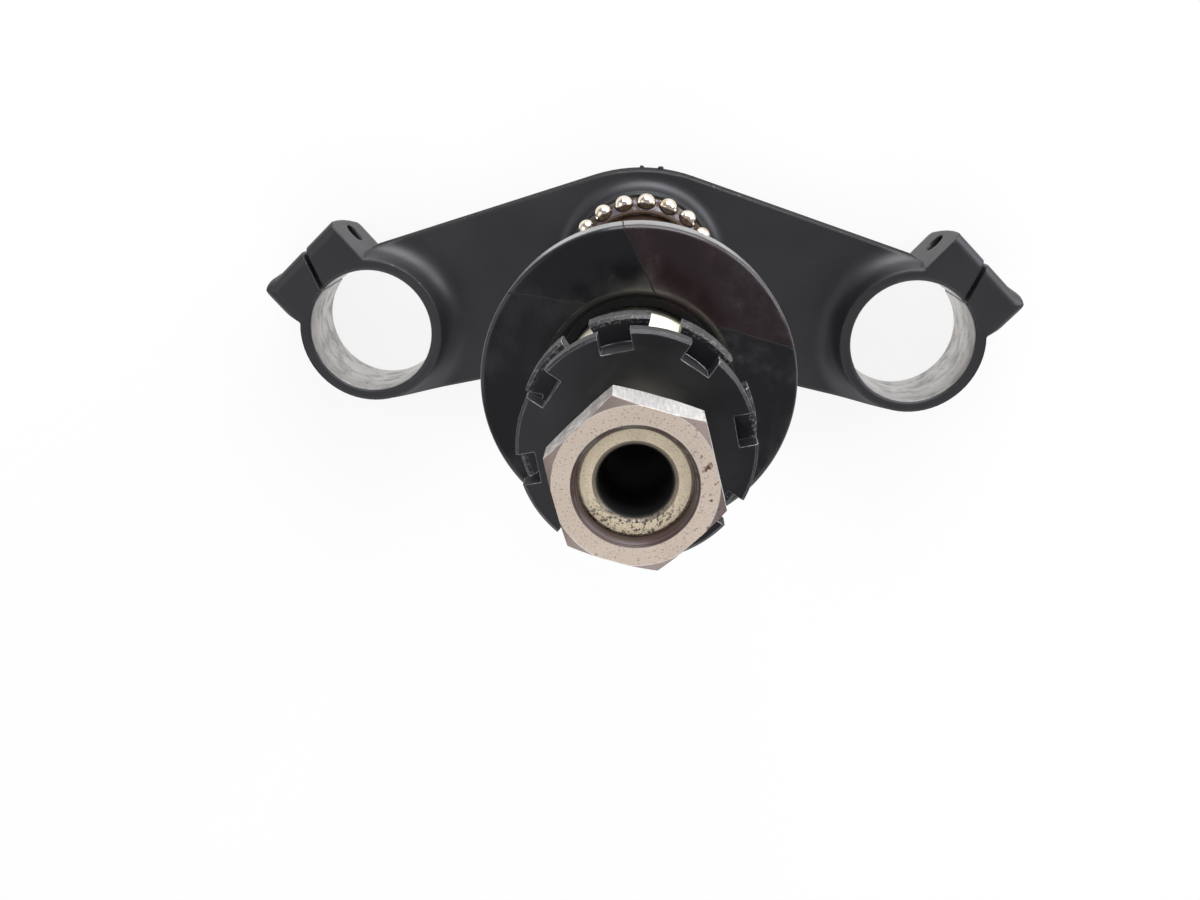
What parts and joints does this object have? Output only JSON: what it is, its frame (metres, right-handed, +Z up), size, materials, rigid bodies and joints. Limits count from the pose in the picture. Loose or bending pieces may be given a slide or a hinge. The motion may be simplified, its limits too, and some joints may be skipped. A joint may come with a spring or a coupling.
{
  "type": "motorcycle triple clamp",
  "caption": "Lower triple clamp for a motorcycle fork: a cast yoke with two split clamps, a pressed-in steering stem, caged ball bearings, a dust cover, ring nuts and a stem nut.",
  "frame": {"origin": "on the steering axis, in the plane of the yoke's underside", "axes": "+Z up the steering stem towards its nut, +X along the line of the two fork bores, the fork line forward at -Y"},
  "size_m": [0.2522, 0.0807, 0.2365],
  "materials": {
    "yoke_paint": "satin black paint on cast aluminium, bores bare",
    "zinc_steel": "yellowish zinc plate",
    "washer_steel": "dull steel",
    "seal_rubber": "greasy matt rubber",
    "greased_race": "ground steel under brown grease",
    "cage_steel": "pressed steel",
    "ball_steel": "polished, filmed with grease",
    "cover_black": "glossy black, scuffed and cracked",
    "black_nut": "black oxide, gritty rim",
    "bare_nut": "bare machined steel with specks of rust"
  },
  "bodies": {
    "clamp": {"lower_yoke": "yoke_paint", "steering_stem": "zinc_steel", "lower_seal_washer": "washer_steel", "lower_dust_seal": "seal_rubber", "lower_bearing_race": "greased_race", "upper_bearing_race": "greased_race", "dust_cover": "cover_black", "ring_nut_lower": "black_nut", "lock_washer": "washer_steel", "ring_nut_upper": "black_nut", "stem_nut": "bare_nut"},
    "lower_cage": {"lower_bearing_cage": "cage_steel", "lower_bearing_balls": "ball_steel"},
    "upper_cage": {"upper_bearing_cage": "cage_steel", "upper_bearing_balls": "ball_steel"}
  },
  "joints": [
    {"name": "lower_cage_spin", "type": "hinge", "parent": "clamp", "child": "lower_cage", "pos_m": [0, 0, 0.0365], "axis": [0, 0, 1], "continuous": true},
    {"name": "upper_cage_spin", "type": "hinge", "parent": "clamp", "child": "upper_cage", "pos_m": [0, 0, 0.163], "axis": [0, 0, 1], "continuous": true}
  ]
}
